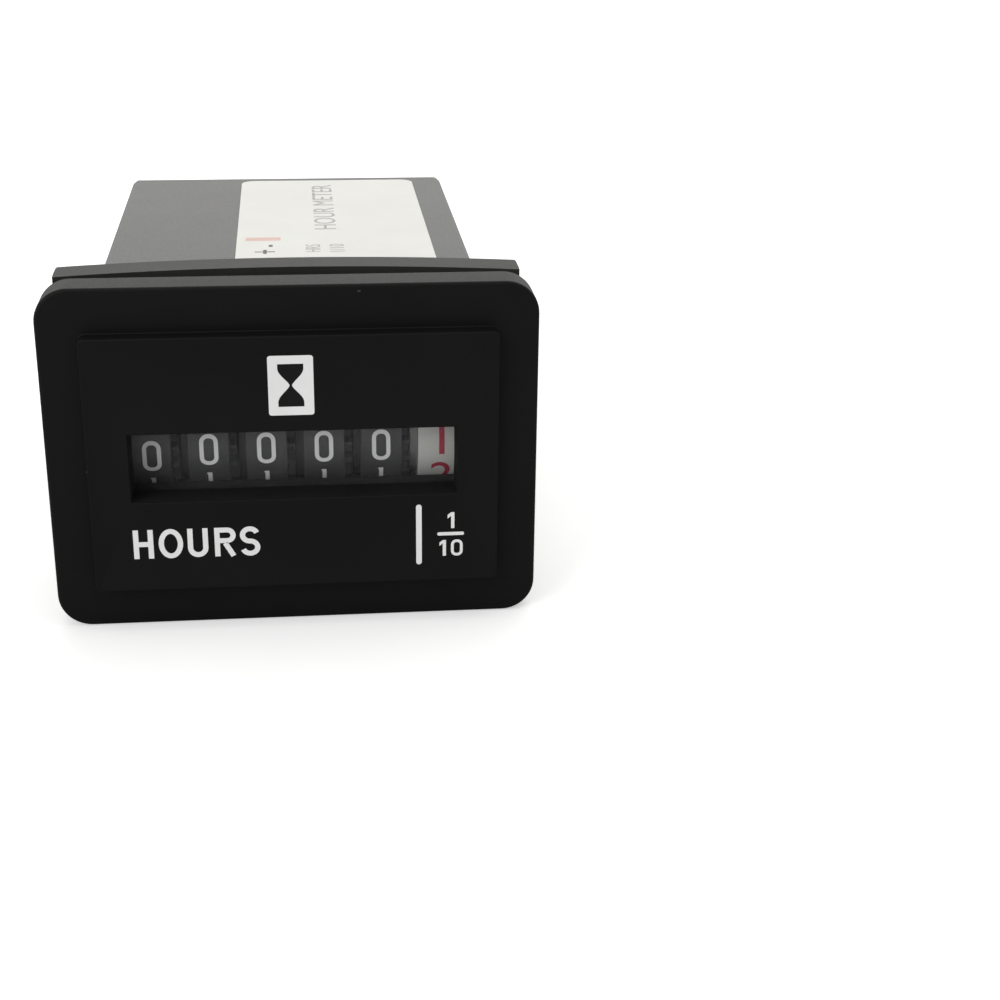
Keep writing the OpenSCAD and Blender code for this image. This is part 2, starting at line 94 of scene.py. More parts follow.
def settle(obj):
    """Puts an object's place into its mesh."""
    pick(obj)
    bpy.ops.object.transform_apply(location=True, rotation=True, scale=True)


def apply_modifier(obj, kind, **values):
    pick(obj)
    mod = obj.modifiers.new(kind.lower(), kind)
    for key, value in values.items():
        setattr(mod, key, value)
    bpy.ops.object.modifier_apply(modifier=mod.name)


def select_where(obj, test, mode="EDGE"):
    """Selects an object's vertices, edges or faces by their place, then enters edit mode."""
    pick(obj)
    mesh = obj.data
    for group in (mesh.vertices, mesh.edges, mesh.polygons):
        for item in group:
            item.select = False
    items = {"VERT": mesh.vertices, "EDGE": mesh.edges, "FACE": mesh.polygons}[mode]
    for item in items:
        if mode == "EDGE":
            item.select = test(*(mesh.vertices[i].co for i in item.vertices))
        elif mode == "VERT":
            item.select = test(item.co)
        else:
            item.select = test(item)
    bpy.context.tool_settings.mesh_select_mode = [mode == kind for kind in ("VERT", "EDGE", "FACE")]
    bpy.ops.object.mode_set(mode="EDIT")


def join(name, pieces):
    clear_pick()
    for piece in pieces:
        piece.select_set(True)
    bpy.context.view_layer.objects.active = pieces[0]
    if len(pieces) > 1:
        bpy.ops.object.join()
    return added(name)


def smooth(obj, angle=35):
    pick(obj)
    bpy.ops.object.shade_smooth_by_angle(angle=math.radians(angle))


def paint(obj, material):
    obj.data.materials.clear()
    obj.data.materials.append(material)


def carry(obj, body):
    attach(obj, body)


def softened(node, width, sharp=40, segments=2):
    """A copy of a moulding with its edges sharper than an angle rounded, which stands for it."""
    mesh = frame["nodes"][node].data.copy()
    obj = bpy.data.objects.new(node + "_soft", mesh)
    bpy.context.scene.collection.objects.link(obj)
    pick(obj)
    bpy.ops.object.mode_set(mode="EDIT")
    bpy.ops.mesh.select_all(action="SELECT")
    bpy.ops.mesh.remove_doubles(threshold=0.0005 * MM)
    bpy.ops.mesh.dissolve_limited(angle_limit=math.radians(0.4))
    bpy.ops.object.mode_set(mode="OBJECT")
    if width:
        apply_modifier(obj, "BEVEL", width=width * MM, segments=segments, limit_method="ANGLE",
                       angle_limit=math.radians(sharp), use_clamp_overlap=True)
    smooth(obj)
    apply_modifier(obj, "WEIGHTED_NORMAL", keep_sharp=True)
    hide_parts(node)
    carry(obj, BODY_OF[node])
    return obj


# materials

def socket(group, name, kind, in_out, value=None):
    made = group.interface.new_socket(name=name, in_out=in_out, socket_type=kind)
    if value is not None:
        made.default_value = value
    return made


def mould_grain_group():
    """Fine spark-eroded grain, soft blotches and sparse dust on a moulded surface."""
    group = bpy.data.node_groups.new("mould_grain", "ShaderNodeTree")
    socket(group, "Grain Scale", "NodeSocketFloat", "INPUT", 6000)
    socket(group, "Base", "NodeSocketColor", "INPUT", (0.02, 0.02, 0.02, 1))
    socket(group, "Worn", "NodeSocketColor", "INPUT", (0.05, 0.05, 0.05, 1))
    socket(group, "Dust", "NodeSocketFloat", "INPUT", 0.2)
    socket(group, "Rough Low", "NodeSocketFloat", "INPUT", 0.4)
    socket(group, "Rough High", "NodeSocketFloat", "INPUT", 0.55)
    socket(group, "Color", "NodeSocketColor", "OUTPUT")
    socket(group, "Roughness", "NodeSocketFloat", "OUTPUT")
    socket(group, "Height", "NodeSocketFloat", "OUTPUT")
    nodes, links = group.nodes, group.links
    inputs = nodes.new("NodeGroupInput")
    outputs = nodes.new("NodeGroupOutput")
    place = nodes.new("ShaderNodeTexCoord")
    grain = nodes.new("ShaderNodeTexNoise")
    grain.inputs["Detail"].default_value = 3
    links.new(place.outputs["Object"], grain.inputs["Vector"])
    links.new(inputs.outputs["Grain Scale"], grain.inputs["Scale"])
    blotch = nodes.new("ShaderNodeTexNoise")
    blotch.inputs["Scale"].default_value = 130
    blotch.inputs["Detail"].default_value = 4
    links.new(place.outputs["Object"], blotch.inputs["Vector"])
    dust = nodes.new("ShaderNodeTexVoronoi")
    dust.inputs["Scale"].default_value = 900
    links.new(place.outputs["Object"], dust.inputs["Vector"])
    speck = nodes.new("ShaderNodeMapRange")
    speck.inputs["From Min"].default_value = 0.10
    speck.inputs["From Max"].default_value = 0.04
    links.new(dust.outputs["Distance"], speck.inputs["Value"])
    chance = nodes.new("ShaderNodeMath")
    chance.operation = "GREATER_THAN"
    chance.inputs[1].default_value = 0.93
    links.new(dust.outputs["Color"], chance.inputs[0])
    sparse = nodes.new("ShaderNodeMath")
    sparse.operation = "MULTIPLY"
    links.new(speck.outputs["Result"], sparse.inputs[0])
    links.new(chance.outputs[0], sparse.inputs[1])
    amount = nodes.new("ShaderNodeMath")
    amount.operation = "MULTIPLY"
    links.new(sparse.outputs[0], amount.inputs[0])
    links.new(inputs.outputs["Dust"], amount.inputs[1])
    tone = nodes.new("ShaderNodeMapRange")
    tone.inputs["From Min"].default_value = 0.35
    tone.inputs["From Max"].default_value = 0.75
    links.new(blotch.outputs["Fac"], tone.inputs["Value"])
    shade = nodes.new("ShaderNodeMix")
    shade.data_type = "RGBA"
    links.new(tone.outputs["Result"], shade.inputs["Factor"])
    links.new(inputs.outputs["Base"], shade.inputs[6])
    links.new(inputs.outputs["Worn"], shade.inputs[7])
    dusty = nodes.new("ShaderNodeMix")
    dusty.data_type = "RGBA"
    dusty.inputs[7].default_value = (0.55, 0.54, 0.5, 1)
    links.new(amount.outputs[0], dusty.inputs["Factor"])
    links.new(shade.outputs[2], dusty.inputs[6])
    rough = nodes.new("ShaderNodeMapRange")
    links.new(grain.outputs["Fac"], rough.inputs["Value"])
    links.new(inputs.outputs["Rough Low"], rough.inputs["To Min"])
    links.new(inputs.outputs["Rough High"], rough.inputs["To Max"])
    links.new(dusty.outputs[2], outputs.inputs["Color"])
    links.new(rough.outputs["Result"], outputs.inputs["Roughness"])
    links.new(grain.outputs["Fac"], outputs.inputs["Height"])
    return group


def shader(name):
    """A new material with its Principled shader."""
    material = bpy.data.materials.new(name)
    material.use_nodes = True
    return material, material.node_tree.nodes["Principled BSDF"]


def moulded(name, base, worn, rough, specular=0.5, grain=6000, bump=0.15, dust=0.2, metallic=0.0, coat=0.0):
    """A surface with the shared grain: plastic, rubber, film or plain metal."""
    material, bsdf = shader(name)
    nodes, links = material.node_tree.nodes, material.node_tree.links
    surface = nodes.new("ShaderNodeGroup")
    surface.node_tree = GRAIN
    surface.inputs["Grain Scale"].default_value = grain
    surface.inputs["Base"].default_value = (*base, 1)
    surface.inputs["Worn"].default_value = (*worn, 1)
    surface.inputs["Dust"].default_value = dust
    surface.inputs["Rough Low"].default_value = rough[0]
    surface.inputs["Rough High"].default_value = rough[1]
    relief = nodes.new("ShaderNodeBump")
    relief.inputs["Strength"].default_value = bump
    relief.inputs["Distance"].default_value = 0.02 * MM
    links.new(surface.outputs["Color"], bsdf.inputs["Base Color"])
    links.new(surface.outputs["Roughness"], bsdf.inputs["Roughness"])
    links.new(surface.outputs["Height"], relief.inputs["Height"])
    links.new(relief.outputs["Normal"], bsdf.inputs["Normal"])
    bsdf.inputs["Specular IOR Level"].default_value = specular
    bsdf.inputs["Metallic"].default_value = metallic
    bsdf.inputs["Coat Weight"].default_value = coat
    return material


def clear_lens():
    """A thin clear window that passes light, with a faint uneven grey veil that is partly its own clouding
    and partly a painted reflection.
    """
    material, bsdf = shader("clear_lens")
    nodes, links = material.node_tree.nodes, material.node_tree.links
    surface = nodes.new("ShaderNodeGroup")
    surface.node_tree = GRAIN
    surface.inputs["Grain Scale"].default_value = 260
    surface.inputs["Base"].default_value = (0.52, 0.52, 0.55, 1)
    surface.inputs["Worn"].default_value = (0.62, 0.62, 0.64, 1)
    surface.inputs["Dust"].default_value = 0.0
    surface.inputs["Rough Low"].default_value = 0.08
    surface.inputs["Rough High"].default_value = 0.16
    # the veil's strength: partly the lens's own clouding, partly a painted reflection over the wheels
    haze_and_reflection = nodes.new("ShaderNodeMapRange")
    haze_and_reflection.inputs["To Min"].default_value = 0.016
    haze_and_reflection.inputs["To Max"].default_value = 0.034
    links.new(surface.outputs["Color"], bsdf.inputs["Base Color"])
    links.new(surface.outputs["Roughness"], bsdf.inputs["Roughness"])
    links.new(surface.outputs["Height"], haze_and_reflection.inputs["Value"])
    links.new(haze_and_reflection.outputs["Result"], bsdf.inputs["Alpha"])
    return material


def grey(value):
    return (value, value, value)


GRAIN = mould_grain_group()
FINISH = {
    "bezel_plastic": moulded("bezel_plastic", grey(0.0038), grey(0.0048), (0.42, 0.6), 0.10, 5200, 0.2, 0.12),
    "case_plastic": moulded("case_plastic", (0.020, 0.020, 0.0185), (0.028, 0.028, 0.0257),
                            (0.38, 0.54), 0.40, 4200, 0.2, 0.2),
    "clip_plastic": moulded("clip_plastic", (0.022, 0.022, 0.020), (0.030, 0.030, 0.027),
                            (0.46, 0.62), 0.3, 4200, 0.15, 0.15),
    "gasket_rubber": moulded("gasket_rubber", grey(0.012), grey(0.018), (0.7, 0.85), 0.2, 3000, 0.25, 0.3),
    "label_film": moulded("label_film", (0.84, 0.835, 0.80), (0.88, 0.875, 0.84),
                          (0.5, 0.65), 0.2, 2500, 0.05, 0.0),
    "tinned_brass": moulded("tinned_brass", (0.60, 0.57, 0.50), (0.72, 0.69, 0.62),
                            (0.3, 0.5), 0.5, 2600, 0.12, 0.1, 1.0),
    "frame_plastic": moulded("frame_plastic", grey(0.02), grey(0.03), (0.5, 0.65), 0.3),
    "plate_brass": moulded("plate_brass", (0.62, 0.48, 0.2), (0.72, 0.58, 0.28),
                           (0.25, 0.4), 0.5, 2600, 0.1, 0.0, 1.0),
    "steel": moulded("steel", grey(0.55), grey(0.65), (0.2, 0.35), 0.5, 2600, 0.08, 0.0, 1.0),
    "white_plastic": moulded("white_plastic", (0.63, 0.63, 0.60), (0.68, 0.68, 0.65),
                             (0.4, 0.55), 0.4, 4200, 0.1, 0.05),
    "black_plastic": moulded("black_plastic", (0.044, 0.044, 0.046), (0.052, 0.052, 0.054),
                             (0.4, 0.55), 0.4, 4200, 0.1, 0.1),
    "core_steel": moulded("core_steel", grey(0.4), grey(0.5), (0.35, 0.5), 0.5, 2600, 0.1, 0.0, 1.0),
    "bobbin_plastic": moulded("bobbin_plastic", (0.72, 0.68, 0.58), (0.78, 0.74, 0.64), (0.4, 0.55)),
    "copper_wire": moulded("copper_wire", (0.5, 0.2, 0.08), (0.62, 0.28, 0.12),
                           (0.25, 0.4), 0.5, 3000, 0.3, 0.0, 1.0),
    "board": moulded("board", (0.02, 0.12, 0.05), (0.03, 0.16, 0.07), (0.35, 0.5)),
    "chip": moulded("chip", grey(0.012), grey(0.018), (0.45, 0.6)),
    "can_steel": moulded("can_steel", grey(0.6), grey(0.7), (0.2, 0.35), 0.5, 2600, 0.08, 0.0, 1.0),
    "sleeve": moulded("sleeve", (0.01, 0.02, 0.06), (0.015, 0.03, 0.08), (0.2, 0.3)),
    "magnet": moulded("magnet", grey(0.12), grey(0.18), (0.4, 0.55), 0.5, 2600, 0.1, 0.0, 1.0),
    "pinion_plastic": moulded("pinion_plastic", (0.6, 0.57, 0.48), (0.66, 0.63, 0.54), (0.4, 0.55)),
    "gear_plastic": moulded("gear_plastic", (0.66, 0.63, 0.54), (0.72, 0.69, 0.6), (0.4, 0.55)),
    "clear_lens": clear_lens(),
}
PRINT_WHITE = moulded("print_white", grey(0.88), grey(0.93), (0.45, 0.6), 0.3, 3000, 0.05, 0.0)
PRINT_BLACK = moulded("print_black", grey(0.005), grey(0.007), (0.45, 0.6), 0.12, 3000, 0.05, 0.0)
PRINT_RED = moulded("print_red", (0.42, 0.025, 0.06), (0.48, 0.04, 0.08), (0.45, 0.6), 0.3, 3000, 0.05, 0.0)
FIGURE_WHITE = moulded("figure_white", grey(0.86), grey(0.92), (0.45, 0.6), 0.3, 3000, 0.05, 0.0)
# painted shade: a grey for the tenths wheel's recessed drive ring, standing in for the shadow on its white
# plastic
RING_PAINTED_SHADE = moulded("ring_painted_shade", (0.3, 0.3, 0.29), (0.36, 0.36, 0.35), (0.4, 0.55), 0.3, 4200, 0.1, 0.05)
# painted light: a black lighter than the wheels' own, which brightens the shadowed gaps between the rims
RING_PAINTED_LIGHT = moulded("ring_painted_light", grey(0.068), grey(0.08), (0.6, 0.75), 0.2, 4200, 0.1, 0.0)
LABEL_GREY = moulded("label_grey", grey(0.42), grey(0.5), (0.5, 0.65), 0.2, 2500, 0.05, 0.0)
LABEL_DARK = moulded("label_dark", grey(0.10), grey(0.16), (0.5, 0.65), 0.2, 2500, 0.05, 0.0)
LABEL_RED = moulded("label_red", (0.76, 0.52, 0.46), (0.80, 0.58, 0.52), (0.5, 0.65), 0.2, 2500, 0.05, 0.0)
WINDOW_BLACK = moulded("window_black", grey(0.014), grey(0.018), (0.7, 0.85), 0.05, 5200, 0.1, 0.0)
DUST_GREY = moulded("dust_grey", grey(0.045), grey(0.07), (0.8, 0.9), 0.1, 3000, 0.1, 0.0)

for node, obj in frame["nodes"].items():
    paint(obj, FINISH[SLOT_OF[node]])

# mouldings with their edges softened

# width of the rounding and the angle from which an edge gets it; the case's grooves keep their edges
SOFT_EDGES = {"bezel": (0.16, 40), "case": (0.14, 75), "rear_cover": (0.14, 40), "clip": (0.16, 40),
              "gasket": (0.12, 40), "terminal_left": (0.1, 40), "terminal_right": (0.1, 40)}
soft = {}
for node, (width, sharp) in SOFT_EDGES.items():
    soft[node] = softened(node, width, sharp)
    paint(soft[node], FINISH[SLOT_OF[node]])

# the panel's face gives way to the thickness of its print
PRINT_T = 0.03
panel_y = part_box("bezel")[0][1] / MM
select_where(soft["bezel"], lambda co: co.y < (panel_y + 0.01) * MM, "VERT")
bpy.ops.transform.translate(value=(0, PRINT_T * MM, 0))
bpy.ops.object.mode_set(mode="OBJECT")

# the window's walls and the hollow behind it stay matt and dark
lens_low, lens_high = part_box("lens")
ROUND_LENS = 1.2 * MM
soft["bezel"].data.materials.append(WINDOW_BLACK)


def in_window(co):
    return (lens_low[0] - ROUND_LENS < co.x < lens_high[0] + ROUND_LENS
            and lens_low[2] - ROUND_LENS < co.z < lens_high[2] + ROUND_LENS)


bezel_points = soft["bezel"].data.vertices
select_where(soft["bezel"], lambda face: face.center.y > (panel_y + 0.2) * MM
             and all(in_window(bezel_points[i].co) for i in face.vertices), "FACE")
soft["bezel"].active_material_index = 1
bpy.ops.object.material_slot_assign()
bpy.ops.object.mode_set(mode="OBJECT")

# flat figures and letters, drawn facing up


def lettering(name, words, width, height, weight=0.0):
    """Lettering drawn to a width and height, centred."""
    clear_pick()
    bpy.ops.object.text_add(location=(0, 0, 0))
    obj = bpy.context.active_object
    obj.data.body = words
    obj.data.offset = weight
    obj.data.resolution_u = 6
    bpy.ops.object.convert(target="MESH")
    bpy.ops.object.shade_flat()
    obj = added(name)
    corners = [Vector(c) for c in obj.bound_box]
    low = Vector(min(c[i] for c in corners) for i in range(3))
    high = Vector(max(c[i] for c in corners) for i in range(3))
    span = high - low
    obj.data.transform(Matrix.Translation(-(low + high) / 2))
    obj.data.transform(Matrix.Diagonal((width * MM / span.x, height * MM / span.y, 0, 1)))
    return obj


def bend(x, y, rx, ry, start, end):
    """Points along part of an ellipse, between two bearings in degrees."""
    count = 24
    turns = [math.radians(start + (end - start) * i / count) for i in range(count + 1)]
    return [(x + rx * math.cos(a), y + ry * math.sin(a)) for a in turns]


def stroke_paths(sign, width, height, stroke):
    """The middle lines of a letter's strokes, from its lower left corner."""
    half = stroke / 2
    mid, span, rise = width / 2, width / 2 - half, (height - stroke) / 4
    if sign == "H":
        return [[(half, 0), (half, height)], [(width - half, 0), (width - half, height)],
                [(stroke, height / 2), (width - stroke, height / 2)]]
    if sign == "O":
        return [bend(mid, height / 2, span, 2 * rise, 0, 360)]
    if sign == "U":
        return [[(half, height)] + bend(mid, half + span, span, span, 180, 360) + [(width - half, height)]]
    if sign == "R":
        bowl = 0.27 * height - half
        low = height - half - 2 * bowl
        bow = bend(width - half - bowl, low + bowl, bowl, bowl, 90, -90)
        return [[(half, 0), (half, height)], [(stroke, height - half)] + bow + [(stroke, low)],
                [(0.5 * width, low - half), (width - 0.5 * stroke, 0)]]
    upper = bend(mid, height - half - rise, span, rise, 20, 270)
    lower = bend(mid, half + rise, span, rise, 90, -160)
    return [upper + lower[1:]]


def stroked(sign, width, height, stroke):
    """A letter drawn with flat strokes of one width, centred."""
    clear_pick()
    bpy.ops.curve.primitive_nurbs_path_add()
    obj = bpy.context.active_object
    curve = obj.data
    curve.splines.clear()
    curve.twist_mode = "Z_UP"
    curve.extrude = stroke / 2 * MM
    for path in stroke_paths(sign, width, height, stroke):
        closed = math.dist(path[0], path[-1]) < 0.001
        points = path[:-1] if closed else path
        line = curve.splines.new("POLY")
        line.points.add(len(points) - 1)
        line.use_cyclic_u = closed
        for point, (x, y) in zip(line.points, points):
            point.co = ((x - width / 2) * MM, (y - height / 2) * MM, 0, 1)
            point.tilt = math.radians(90)
    bpy.ops.object.convert(target="MESH")
    bpy.ops.object.shade_flat()
    return added("letter_" + sign)


def leaf(name, width, height, across=1, along=1):
    """A flat rectangle, cut into so many fields."""
    clear_pick()
    bpy.ops.mesh.primitive_grid_add(x_subdivisions=across, y_subdivisions=along, size=1)
    obj = added(name)
    obj.scale = (width * MM, height * MM, 1)
    settle(obj)
    return obj


def rounded_leaf(name, width, height, radius):
    """A flat rectangle with rounded corners."""
    obj = leaf(name, width, height)
    pick(obj)
    bpy.ops.object.mode_set(mode="EDIT")
    bpy.ops.mesh.select_all(action="SELECT")
    bpy.ops.mesh.bevel(offset=radius * MM, segments=8, affect="VERTICES")
    bpy.ops.object.mode_set(mode="OBJECT")
    return obj


def figure_zero(name, width, height, stroke, radius):
    """A narrow round-cornered ring."""
    obj = rounded_leaf(name, width, height, radius)
    pick(obj)
    bpy.ops.object.mode_set(mode="EDIT")
    bpy.ops.mesh.select_all(action="SELECT")
    bpy.ops.mesh.inset(thickness=stroke * MM)
    bpy.ops.mesh.delete(type="FACE")
    bpy.ops.object.mode_set(mode="OBJECT")
    return obj


def figure_one(name, height, stroke, flag):
    """A plain stem with a short flag at its top left."""
    obj = leaf(name, stroke, height)
    pick(obj)
    bpy.ops.object.mode_set(mode="EDIT")
    bpy.ops.mesh.select_all(action="SELECT")
    bpy.ops.mesh.bisect(plane_co=(0, (height / 2 - 1.1 * flag) * MM, 0), plane_no=(0, 1, 0))
    bpy.ops.object.mode_set(mode="OBJECT")
    inner = (height / 2 - 1.2 * flag) * MM
    select_where(obj, lambda a, b: max(a.x, b.x) < 0 and min(a.y, b.y) > inner)
    bpy.ops.mesh.extrude_region_move(TRANSFORM_OT_translate={"value": (-flag * MM, -0.8 * flag * MM, 0)})
    bpy.ops.object.mode_set(mode="OBJECT")
    return obj


def smooth_step(t):
    t = min(max(t, 0), 1)
    return t * t * (3 - 2 * t)


def hourglass_shape(name, width, height, waist):
    """Two bells that meet at a narrow waist."""
    rows = 28
    obj = leaf(name, width, height, 1, rows)
    for i in range(rows + 1):
        y = (i / rows - 0.5) * height
        share = waist + (1 - waist) * smooth_step((abs(y) / (0.4 * height)) ** 0.8)
        select_where(obj, lambda co: abs(co.y - y * MM) < 0.01 * MM, "VERT")
        bpy.ops.transform.resize(value=(share, 1, 1), center_override=(0, 0, 0))
        bpy.ops.object.mode_set(mode="OBJECT")
    return obj


# the panel's print


def on_panel(obj, x, z, lift=0.0):
    """Stands a flat shape on the panel's face as a thin layer of ink."""
    obj.rotation_euler = (math.radians(90), 0, 0)
    obj.location = (x * MM, (panel_y + lift) * MM, z * MM)
    settle(obj)
    apply_modifier(obj, "SOLIDIFY", thickness=(PRINT_T - lift) * MM, offset=-1)
    return obj


def ink(name, x0, x1, z0, z1, radius, lift=0.0):
    """A printed bar or patch with rounded corners."""
    return on_panel(rounded_leaf(name, x1 - x0, z1 - z0, radius), (x0 + x1) / 2, (z0 + z1) / 2, lift)


def printed(obj, material):
    paint(obj, material)
    carry(obj, "housing")


GROUND_LIFT = 0.006
printed(ink("icon_ground", -2.12, 1.83, 4.6, 10.05, 0.25, GROUND_LIFT), PRINT_WHITE)
printed(on_panel(hourglass_shape("icon_hourglass", 2.25, 3.9, 0.09), -0.15, 7.34), PRINT_BLACK)

# each letter of the word with its left and right edges
WORD = [("H", -14.55, -12.79), ("O", -12.34, -10.18), ("U", -9.77, -7.96), ("R", -7.39, -5.5),
        ("S", -5.13, -3.35)]
WORD_Z, WORD_H, WORD_STROKE = -7.27, 2.78, 0.47
# how much taller the round letters are
OVERSHOOT = 0.08
letters = []
for sign, x0, x1 in WORD:
    tall = WORD_H + (OVERSHOOT if sign in "OS" else 0)
    letters.append(on_panel(stroked(sign, x1 - x0, tall, WORD_STROKE), (x0 + x1) / 2, WORD_Z))
printed(join("word_hours", letters), PRINT_WHITE)
printed(ink("tenths_line", 10.69, 11.2, -10.15, -4.26, 0.25), PRINT_WHITE)
FIGURE_H, FIGURE_STROKE = 1.56, 0.3
printed(join("fraction", [
    on_panel(figure_one("fraction_one", FIGURE_H, FIGURE_STROKE, 0.32), 14.02, -5.88),
    ink("fraction_bar", 12.62, 15.04, -7.36, -7.04, 0.12),
    on_panel(figure_one("fraction_ten", FIGURE_H, FIGURE_STROKE, 0.3), 13.26, -8.6),
    on_panel(figure_zero("fraction_zero", 1.08, FIGURE_H + 0.05, 0.26, 0.5), 14.4, -8.6)]), PRINT_WHITE)

# pale generic words on the label, read from the right-hand side
label_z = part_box("label")[1][2]
LABEL_INK = 0.01


def on_label(name, words, x, y, length, tall):
    """Lays lettering on the label as a thin layer of ink."""
    obj = lettering(name, words, length, tall)
    obj.rotation_euler = (0, 0, math.radians(90))
    obj.location = (x * MM, y * MM, label_z + LABEL_INK * MM)
    settle(obj)
    apply_modifier(obj, "SOLIDIFY", thickness=LABEL_INK * MM, offset=-1)
    return obj


def on_label_bar(name, x0, x1, y0, y1):
    """Lays a plain bar of ink on the label."""
    obj = leaf(name, x1 - x0, y1 - y0)
    obj.location = ((x0 + x1) / 2 * MM, (y0 + y1) / 2 * MM, label_z + LABEL_INK * MM)
    settle(obj)
    apply_modifier(obj, "SOLIDIFY", thickness=LABEL_INK * MM, offset=-1)
    return obj


words = join("label_words", [
    on_label("label_name", "HOUR METER", 3.85, 40.7, 21.6, 2.3),
    on_label("label_unit", "HRS", 2.4, 21.9, 3.0, 1.5),
    on_label("label_part", "1/10", 4.8, 21.9, 3.0, 1.5)])
paint(words, LABEL_GREY)
carry(words, "housing")
signs = on_label("label_signs", "+ -", -2.4, 21.7, 3.6, 2.0)
paint(signs, LABEL_DARK)
carry(signs, "housing")
stripe = on_label_bar("label_stripe", -4.4, -0.85, 25.3, 26.6)
paint(stripe, LABEL_RED)
carry(stripe, "housing")

# figures on the wheels

WHEELS = ["wheel_ten_thousands", "wheel_thousands", "wheel_hundreds", "wheel_tens", "wheel_units",
          "wheel_tenths"]
DIGIT_H, DIGIT_INK = 2.98, 0.02
# width, stroke and weight of the white figures, then of the red ones
SLIM, BROAD = (1.68, 0.38, 0.006), (2.0, 0.5, 0.0)
rim_low, rim_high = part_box("wheel_tens")
WHEEL_R = (rim_high[2] - rim_low[2]) / 2
AXIS = Vector((0, (rim_low[1] + rim_high[1]) / 2, (rim_low[2] + rim_high[2]) / 2))
STEP = math.radians(36)
DIGIT_X = [-12.82, -7.72, -2.56, 2.64, 7.84, 13.4]
# each wheel's turn past its digit, in degrees: slack in the first, the tenths on their way to the next
SHOWN = [(0, -4.6), (0, 0.0), (0, 0.0), (0, 0.0), (0, 0.0), (1, 4.3)]


def about_axis(angle):
    """A turn that carries the wheels' front upwards."""
    return Matrix.Translation(AXIS) @ Matrix.Rotation(-angle, 4, "X") @ Matrix.Translation(-AXIS)


def off_axis(face):
    """How far a face's middle lies from the wheels' axis."""
    return math.hypot(face.center.y - AXIS.y, face.center.z - AXIS.z)


def rim_former():
    """A drum as large as the ink on a rim, to lay the digits on."""
    clear_pick()
    bpy.ops.mesh.primitive_cylinder_add(vertices=192, radius=WHEEL_R + DIGIT_INK * MM, depth=12 * MM,
                                        rotation=(0, math.radians(90), 0), location=AXIS)
    obj = added("rim_former")
    settle(obj)
    return obj


def digit(number, former, width, stroke, weight):
    """One figure, cut into strips and laid on the rim's front."""
    name = "figure_%d" % number
    if number == 0:
        obj = figure_zero(name, width, DIGIT_H, stroke, 0.46 * width)
    elif number == 1:
        obj = figure_one(name, DIGIT_H, stroke, 0.1)
    else:
        obj = lettering(name, str(number), width, DIGIT_H, weight)
    obj.rotation_euler = (math.radians(90), 0, 0)
    obj.location = (0, AXIS.y - WHEEL_R - 2 * MM, AXIS.z)
    settle(obj)
    strips = 9
    for i in range(1, strips):
        pick(obj)
        bpy.ops.object.mode_set(mode="EDIT")
        bpy.ops.mesh.select_all(action="SELECT")
        height = AXIS.z + (i / strips - 0.5) * DIGIT_H * MM
        bpy.ops.mesh.bisect(plane_co=(0, 0, height), plane_no=(0, 0, 1))
        bpy.ops.object.mode_set(mode="OBJECT")
    apply_modifier(obj, "SHRINKWRAP", target=former, wrap_method="PROJECT", use_project_y=True,
                   use_positive_direction=True, use_negative_direction=False)
    apply_modifier(obj, "SOLIDIFY", thickness=DIGIT_INK * MM, offset=-1)
    return obj


def figure_ring(former, width, stroke, weight):
    """The ten figures set around a rim, with the nought in front."""
    figures = []
    for number in range(10):
        figure = digit(number, former, width, stroke, weight)
        figure.data.transform(about_axis(-number * STEP))
        figures.append(figure)
    return join("figures", figures)


former = rim_former()
slim, broad = figure_ring(former, *SLIM), figure_ring(former, *BROAD)
bpy.data.objects.remove(former)
for node, x, (shown, past) in zip(WHEELS, DIGIT_X, SHOWN):
    mesh = (broad if node == "wheel_tenths" else slim).data.copy()
    mesh.transform(Matrix.Translation((x * MM, 0, 0)) @ about_axis(shown * STEP + math.radians(past)))
    figures_here = bpy.data.objects.new(node + "_figures", mesh)
    bpy.context.scene.collection.objects.link(figures_here)
    paint(figures_here, PRINT_RED if node == "wheel_tenths" else FIGURE_WHITE)
    carry(figures_here, node)
    rounded = softened(node, 0.08)
    paint(rounded, FINISH[SLOT_OF[node]])
    # the drive ring and teeth in the gaps are duller than the rim; on the tenths wheel their grey is painted
    # shade for the shadowed recessed ring, on the others their black, lighter than the rim's, is painted
    # light that brightens the shadowed gaps
    rounded.data.materials.append(RING_PAINTED_SHADE if node == "wheel_tenths" else RING_PAINTED_LIGHT)
    select_where(rounded, lambda face: off_axis(face) < WHEEL_R - 0.3 * MM, "FACE")
    rounded.active_material_index = 1
    bpy.ops.object.material_slot_assign()
    bpy.ops.object.mode_set(mode="OBJECT")
for ring in (slim, broad):
    bpy.data.objects.remove(ring)

# dust seen on the flange

SPECKS = [(5.96, -4.9, 15.24, 0.13), (18.09, -4.9, 5.91, 0.1), (-18.28, -4.9, -0.79, 0.1)]
specks = []
for i, (x, y, z, size) in enumerate(SPECKS):
    clear_pick()
    bpy.ops.mesh.primitive_ico_sphere_add(subdivisions=2, radius=size * MM, location=(x * MM, y * MM, z * MM))
    fleck = added("fleck_%d" % i)
    fleck.scale = (1.3, 0.2, 0.7)
    settle(fleck)
    specks.append(fleck)
dust = join("dust_flecks", specks)
paint(dust, DUST_GREY)
carry(dust, "housing")

# studio


def white_to_camera(nodes, links, lit, seen):
    """Mixes a lit shader with a plain white one that camera, mirror and glass rays see."""
    path = nodes.new("ShaderNodeLightPath")
    either = nodes.new("ShaderNodeMath")
    either.operation = "MAXIMUM"
    links.new(path.outputs["Is Camera Ray"], either.inputs[0])
    links.new(path.outputs["Is Glossy Ray"], either.inputs[1])
    both = nodes.new("ShaderNodeMath")
    both.operation = "MAXIMUM"
    links.new(either.outputs[0], both.inputs[0])
    links.new(path.outputs["Is Transmission Ray"], both.inputs[1])
    mix = nodes.new("ShaderNodeMixShader")
    links.new(both.outputs[0], mix.inputs["Fac"])
    links.new(lit, mix.inputs[1])
    links.new(seen, mix.inputs[2])
    return mix


